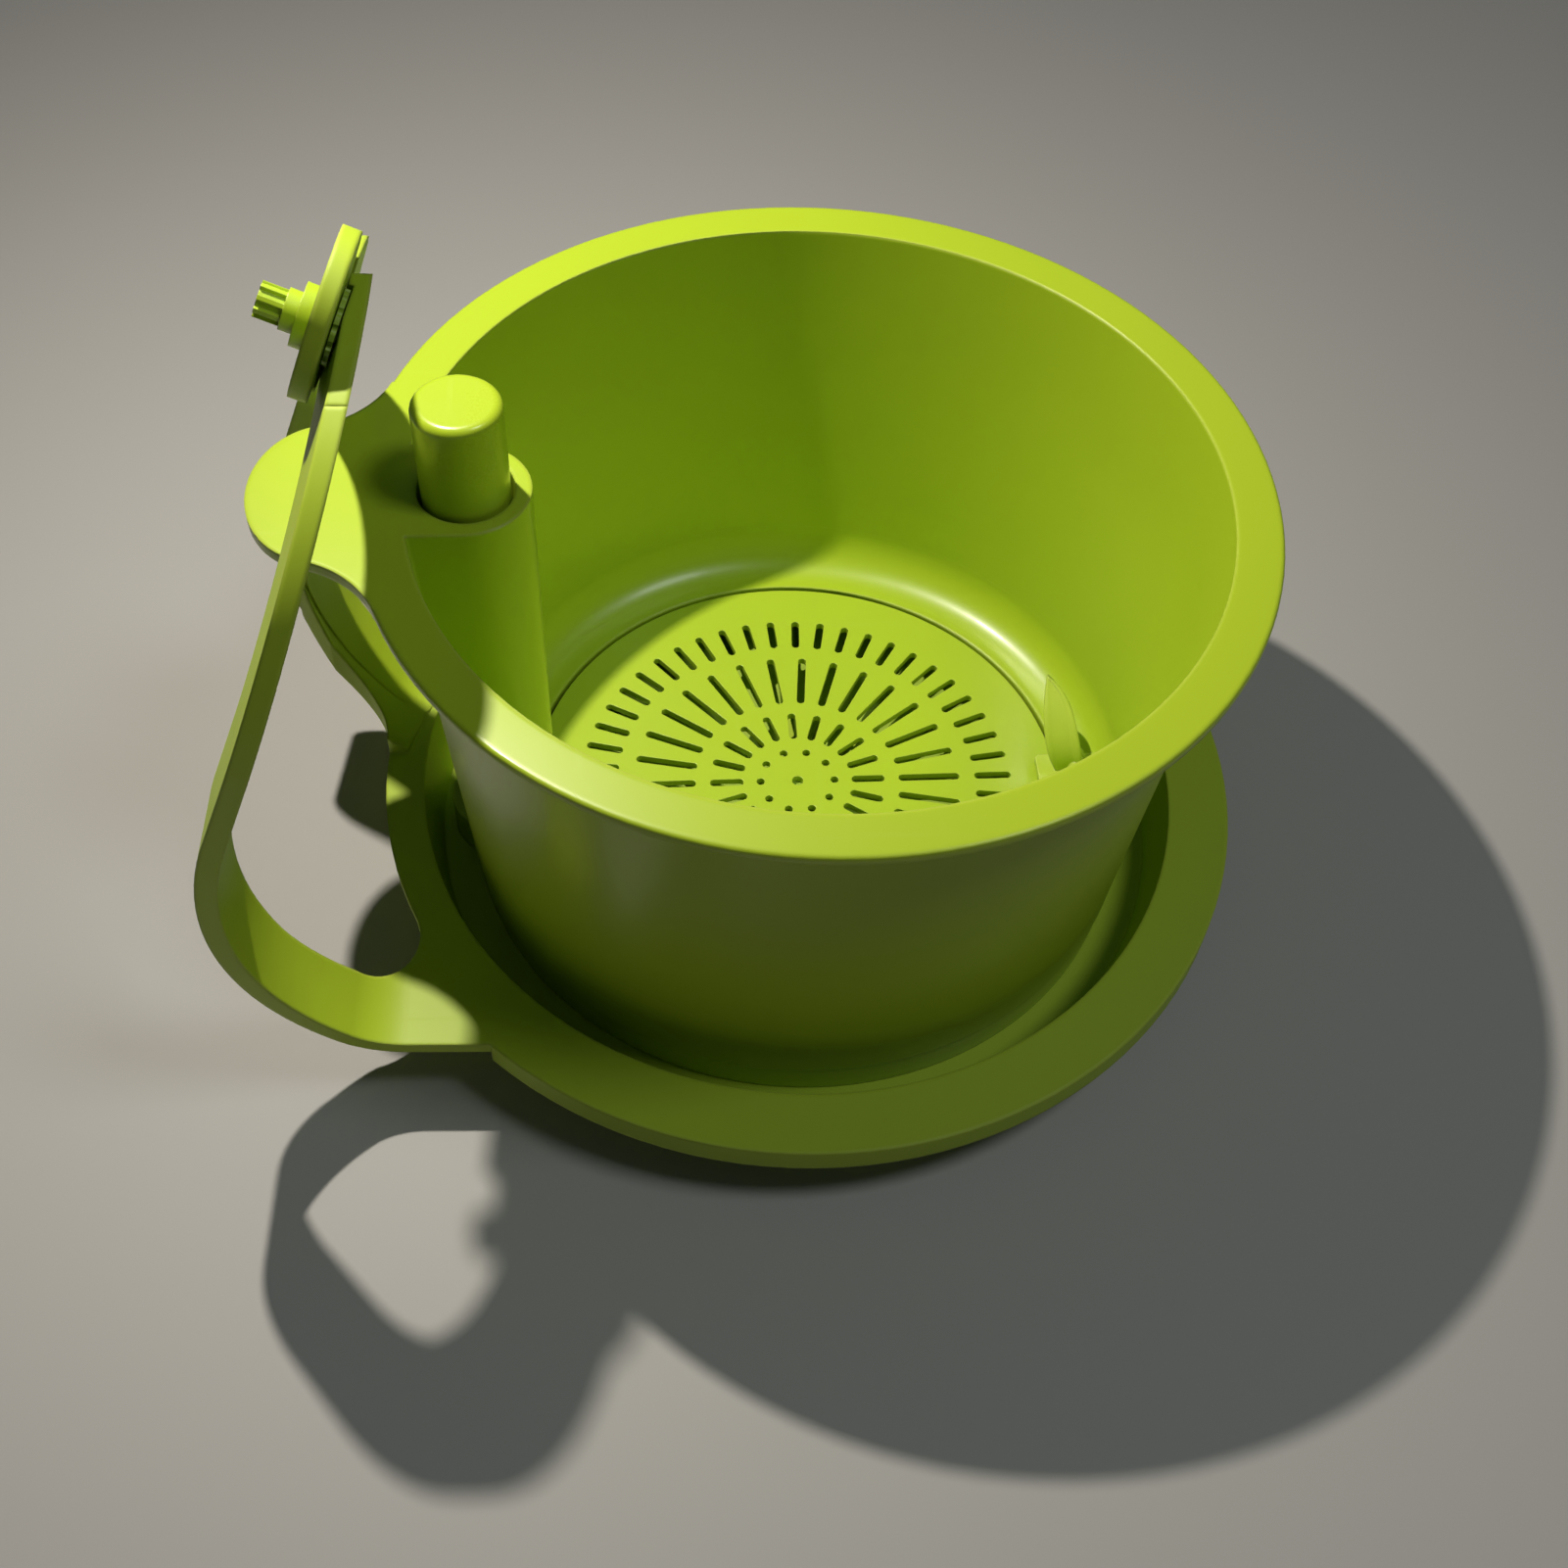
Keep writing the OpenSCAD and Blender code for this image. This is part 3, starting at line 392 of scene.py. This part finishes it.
def lofted(name, rings, finish, capped=True):
    """A piece drawn through rings of points, all of one count, with flat ends if it is capped."""
    count = len(rings[0])
    last = (len(rings) - 1) * count
    faces = [[row + i, row + (i + 1) % count, row + count + (i + 1) % count, row + count + i]
             for row in range(0, last, count) for i in range(count)]
    if capped:
        faces += [list(range(count)), list(range(last, last + count))]
    mesh = bpy.data.meshes.new(name)
    mesh.from_pydata([point for ring in rings for point in ring], [], faces)
    clean(mesh, same=SAME_POINT, outwards=True)
    mesh.materials.append(finish)
    return add_object(name, mesh)


def merged_copy(name, node, finish):
    """A welded copy of a CAD node, free to be cut and joined."""
    mesh = nodes[node].data.copy()
    mesh.name = name
    clean(mesh, same=WELD)
    mesh.materials.clear()
    mesh.materials.append(finish)
    return add_object(name, mesh)


def apply_modifiers(piece):
    """Puts the piece's modifiers into its mesh."""
    depsgraph = bpy.context.evaluated_depsgraph_get()
    mesh = bpy.data.meshes.new_from_object(piece.evaluated_get(depsgraph))
    piece.modifiers.clear()
    old = piece.data
    piece.data = mesh
    bpy.data.meshes.remove(old)


def combine(piece, other, operation):
    """Joins or cuts piece with other, which is used up."""
    modifier = piece.modifiers.new(operation, "BOOLEAN")
    modifier.operation = operation
    modifier.solver = "EXACT"
    modifier.object = other
    apply_modifiers(piece)
    bpy.data.objects.remove(other)


def smooth_below(piece, degrees):
    """Smooth shading that keeps flat faces flat, except over edges that turn by more than this."""
    kept = piece.data.attributes.get("custom_normal")
    if kept:
        piece.data.attributes.remove(kept)
    piece.data.shade_smooth()
    piece.data.set_sharp_from_angle(angle=math.radians(degrees))
    modifier = piece.modifiers.new("even_out", "WEIGHTED_NORMAL")
    modifier.keep_sharp = True
    modifier.weight = 100
    apply_modifiers(piece)


# ---------------------------------------------------------------- catch tray and its arms

# the arms' own frame: +X points out along the loop, turned a little from the thumb ear
TRAY_TURN = Matrix.Rotation(math.radians(180 - 2.3), 3, "Z")
FLANGE_TOP = 0.028
STRAP_T = 0.0056
BEND_START = 0.115
BEND_R = 0.0225

# web that closes the corner between the near arm's root, its fillet and the flange: its edge
# runs over the flange and along the fillet, and its straight side lies inside the arm
WEB_SIDE = 0.086
WEB_EDGE = [(0.0935, 0.0860), (0.0970, 0.0800), (0.1050, 0.0680), (0.1100, 0.0580),
            (0.1130, 0.0580), (0.1138, 0.0620), (0.1142, 0.0662), (0.11575, 0.0730),
            (0.1190, 0.0800), (0.1205, 0.0860)]
WEB_BEND_DEGREES = (0, 3, 6, 9, 12)


def strap_level(x, side):
    """Height of the strap's upper (side 1) or lower (side -1) face over x."""
    radius = BEND_R - side * STRAP_T / 2
    run = max(0.0, x - BEND_START)
    return FLANGE_TOP - STRAP_T / 2 + BEND_R - math.sqrt(radius * radius - run * run)


def edge_at(x):
    """Where the web's edge crosses x."""
    (x0, y0), (x1, y1) = next(ends for ends in zip(WEB_EDGE, WEB_EDGE[1:])
                              if ends[0][0] <= x <= ends[1][0])
    return y0 + (y1 - y0) * (x - x0) / (x1 - x0)


def web_ring(x):
    """The web's four corners over x: the edge and the side, above and below."""
    return [TRAY_TURN @ Vector((x, y, strap_level(x, side)))
            for y, side in ((edge_at(x), 1), (WEB_SIDE, 1), (WEB_SIDE, -1), (edge_at(x), -1))]


bend_steps = [BEND_START + (BEND_R - STRAP_T / 2) * math.sin(math.radians(degrees))
              for degrees in WEB_BEND_DEGREES]
web_rings = [web_ring(x) for x in sorted([x for x, y in WEB_EDGE] + bend_steps)]
catch_tray = merged_copy("catch_tray", "base_tray", tray_plastic)
combine(catch_tray, lofted("web", web_rings, tray_plastic, capped=False), "UNION")
clean(catch_tray.data, same=WELD, flat=0.2)
smooth_below(catch_tray, degrees=25)
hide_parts("base_tray")
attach(catch_tray, "tray")


# ---------------------------------------------------------------- latch finger

FINGER_TALL = 0.0228
FINGER_LEAN = 0.0220
LEAN_POWER = 2.6
TWIST = 0.60
BOSS_R = 0.0030
BOSS_HALF = 0.0020
PAD_TALL = 0.0022
PAD_OUTLINE = [(-0.0125, -0.0050), (-0.0115, -0.0060), (-0.0045, -0.0060),
               (-0.0045, 0.0060), (-0.0115, 0.0060), (-0.0125, 0.0050)]
HOLE_GAP = 0.00005
HOLE_HALF = 0.01

# half section from the inner to the outer edge: place across the blade, half thickness in mm
BLADE_SECTION = [(0.00, 0.60), (0.04, 1.25), (0.10, 1.40), (0.16, 1.20), (0.22, 0.85), (0.45, 0.95),
                 (0.68, 0.85), (0.76, 1.00), (0.82, 1.70), (0.90, 1.95), (0.96, 1.75), (1.00, 1.10)]


def drum(name, middle, radius, half_len, finish, sides=48):
    """A round pin along Y."""
    turns = [math.tau * i / sides for i in range(sides)]
    return lofted(name, [[(middle[0] + radius * math.cos(a), middle[1] + end * half_len,
                           middle[2] + radius * math.sin(a)) for a in turns]
                         for end in (-1, 1)], finish)


def blade_ring(foot, t):
    """The blade's outline at t of its height: it narrows, thins, twists and leans as t grows."""
    # millimetres out from the pivot, to the inner edge and to the outer one
    inner = -5.4 - 17.2 * t + 13.6 * t * t
    outer = 3.3 - 5.8 * t - 6.1 * t ** 12
    thin = 0.9 - 0.4 * t ** 3
    lean = FINGER_LEAN * t ** LEAN_POWER
    ring = [(u, -h) for u, h in BLADE_SECTION] + [(u, h) for u, h in reversed(BLADE_SECTION)]
    return [(foot.x + MM * (inner + u * (outer - inner)),
             lean + MM * (h * thin - TWIST * t * (u - 0.5) * (outer - inner)),
             foot.z + FINGER_TALL * t) for u, h in ring]


def finger_blade(name, foot, finish, steps=28):
    """Pointed blade with a rib along each edge, its rings closer together near the tip."""
    heights = [math.sin(math.pi / 2 * step / steps) for step in range(steps + 1)]
    return lofted(name, [blade_ring(foot, t) for t in heights], finish)


low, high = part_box("latch_pin")
pivot = (low + high) / 2
hole_r = (high.x - low.x) / 2 + HOLE_GAP
foot = Vector((pivot.x, 0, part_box("disc_latch")[0].z))
pad_rings = [[(foot.x + x, y, foot.z + z) for x, y in PAD_OUTLINE] for z in (0, PAD_TALL)]
finger = finger_blade("latch_finger", foot, latch_painted_lit)
combine(finger, drum("latch_boss", pivot, BOSS_R, BOSS_HALF, latch_painted_lit), "UNION")
combine(finger, lofted("latch_pad", pad_rings, latch_painted_lit), "UNION")
combine(finger, drum("pin_hole", pivot, hole_r, HOLE_HALF, latch_painted_lit), "DIFFERENCE")
smooth_below(finger, degrees=35)
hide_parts("disc_latch")
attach(finger, "latch")


# ---------------------------------------------------------------- return spring

WIRE_R = 0.0006
SPRING_TURNS = 8.0
TURN_STEPS = 40
WIRE_SIDES = 12
# room left inside the CAD spring's box, at its side and at each end
SIDE_ROOM = 0.00005
END_ROOM = 0.0001


def coil_tree():
    """A coil spring on +Z: named inputs for its radius, wire, height and turns."""
    tree = bpy.data.node_groups.new("coil_spring", "GeometryNodeTree")
    for label, kind, default in (("Radius", "NodeSocketFloat", 0.0076),
                                 ("Wire", "NodeSocketFloat", WIRE_R),
                                 ("Height", "NodeSocketFloat", 0.08),
                                 ("Turns", "NodeSocketFloat", SPRING_TURNS),
                                 ("Finish", "NodeSocketMaterial", None)):
        socket = tree.interface.new_socket(label, in_out="INPUT", socket_type=kind)
        if default is not None:
            socket.default_value = default
    tree.interface.new_socket("Geometry", in_out="OUTPUT", socket_type="NodeSocketGeometry")
    link = tree.links.new
    gin, gout = tree.nodes.new("NodeGroupInput"), tree.nodes.new("NodeGroupOutput")
    spiral = tree.nodes.new("GeometryNodeCurveSpiral")
    spiral.inputs["Resolution"].default_value = TURN_STEPS
    link(gin.outputs["Turns"], spiral.inputs["Rotations"])
    for end in ("Start Radius", "End Radius"):
        link(gin.outputs["Radius"], spiral.inputs[end])
    link(gin.outputs["Height"], spiral.inputs["Height"])
    ring = tree.nodes.new("GeometryNodeCurvePrimitiveCircle")
    ring.inputs["Resolution"].default_value = WIRE_SIDES
    link(gin.outputs["Wire"], ring.inputs["Radius"])
    wire = tree.nodes.new("GeometryNodeCurveToMesh")
    wire.inputs["Fill Caps"].default_value = True
    link(spiral.outputs[0], wire.inputs["Curve"])
    link(ring.outputs[0], wire.inputs["Profile Curve"])
    real = tree.nodes.new("GeometryNodeRealizeInstances")
    link(wire.outputs[0], real.inputs[0])
    finish = tree.nodes.new("GeometryNodeSetMaterial")
    link(real.outputs[0], finish.inputs["Geometry"])
    link(gin.outputs["Finish"], finish.inputs["Material"])
    link(finish.outputs[0], gout.inputs[0])
    return tree


def grow(name, tree, inputs):
    """A plain mesh object made by a Geometry Nodes tree with these inputs."""
    holder = add_object(name + "_seed", bpy.data.meshes.new(name + "_seed"))
    modifier = holder.modifiers.new("grow", "NODES")
    modifier.node_group = tree
    for item in tree.interface.items_tree:
        if item.item_type == "SOCKET" and item.in_out == "INPUT" and item.name in inputs:
            modifier[item.identifier] = inputs[item.name]
    depsgraph = bpy.context.evaluated_depsgraph_get()
    mesh = bpy.data.meshes.new_from_object(holder.evaluated_get(depsgraph))
    mesh.name = name
    bpy.data.objects.remove(holder)
    return add_object(name, mesh)


low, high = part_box("return_spring")
spring = grow("spring_coil", coil_tree(), {
    "Radius": (high.y - low.y) / 2 - WIRE_R - SIDE_ROOM, "Wire": WIRE_R,
    "Height": high.z - low.z - 2 * WIRE_R - 2 * END_ROOM, "Turns": SPRING_TURNS,
    "Finish": spring_steel})
spring.data.transform(Matrix.Translation(((low.x + high.x) / 2, 0, low.z + WIRE_R + END_ROOM)))
spring.data.shade_smooth()
spring.data.validate()
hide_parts("return_spring")
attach(spring, "bowl")
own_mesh(spring)


# ---------------------------------------------------------------- floor, light, camera

TABLE_HALF = 4.0
TABLE_DROP = 0.0002
TABLE_COLOUR = (0.455, 0.450, 0.430)
TABLE_ROUGHNESS = 0.6
WORLD_COLOUR = (0.86, 0.95, 1.0)
WORLD_STRENGTH = 0.03
WARM = (1.0, 0.92, 0.82)
COOL = (0.92, 0.97, 0.97)

table_finish = bpy.data.materials.new("table")
table_finish.use_nodes = True
table_shader = table_finish.node_tree.nodes["Principled BSDF"]
table_shader.inputs["Base Color"].default_value = (*TABLE_COLOUR, 1)
table_shader.inputs["Roughness"].default_value = TABLE_ROUGHNESS
table_mesh = bpy.data.meshes.new("table")
table_mesh.from_pydata([(x * TABLE_HALF, y * TABLE_HALF, -TABLE_DROP)
                        for x, y in ((-1, -1), (1, -1), (1, 1), (-1, 1))], [], [(0, 1, 2, 3)])
table_mesh.materials.append(table_finish)
table = add_object("table", table_mesh)

scene.world = bpy.data.worlds.new("studio")
scene.world.use_nodes = True
background = scene.world.node_tree.nodes["Background"]
background.inputs["Color"].default_value = (*WORLD_COLOUR, 1)
background.inputs["Strength"].default_value = WORLD_STRENGTH


def lamp(name, place, target, size, power, tint):
    """A round studio lamp that the camera doesn't see."""
    data = bpy.data.lights.new(name, "AREA")
    data.shape = "DISK"
    data.size = size
    data.energy = power
    data.color = tint
    made = add_object(name, data)
    made.location = place
    made.rotation_euler = (target - place).to_track_quat("-Z", "Y").to_euler()
    made.visible_camera = False


# the key hangs low over the thumb ear, so its shadows spread; the others fill them softly
middle = Vector((0, 0, 0.09))
lamp("key", Vector((-0.181, 0.141, 0.562)), middle, size=0.015, power=3.0, tint=WARM)
lamp("overhead", middle + Vector((1.00, -0.40, 2.10)), middle, size=0.60, power=10.4, tint=COOL)
lamp("front", middle + Vector((-0.4, -1.6, 0.3)), middle, size=1.6, power=0.12, tint=COOL)

CAMERA_PLACE = (-0.0528, -0.3754, 0.5001)
YAW, PITCH, ROLL = (math.radians(degrees) for degrees in (7.35, -51.84, 4.17))
LENS_MM = 43.32
SENSOR_MM = 36.0
NEAREST = 0.01

ahead = Vector((math.sin(YAW) * math.cos(PITCH), math.cos(YAW) * math.cos(PITCH),
                math.sin(PITCH)))
level = Vector((math.cos(YAW), -math.sin(YAW), 0))
upright = level.cross(ahead)
right = math.cos(ROLL) * level + math.sin(ROLL) * upright
up = math.cos(ROLL) * upright - math.sin(ROLL) * level
turn = Matrix((right, up, -ahead)).transposed().to_4x4()
camera_data = bpy.data.cameras.new("camera")
camera_data.sensor_width = SENSOR_MM
camera_data.lens = LENS_MM
camera_data.clip_start = NEAREST
camera = add_object("camera", camera_data)
camera.matrix_world = Matrix.Translation(CAMERA_PLACE) @ turn
scene.camera = camera
scene.view_settings.view_transform = "Standard"
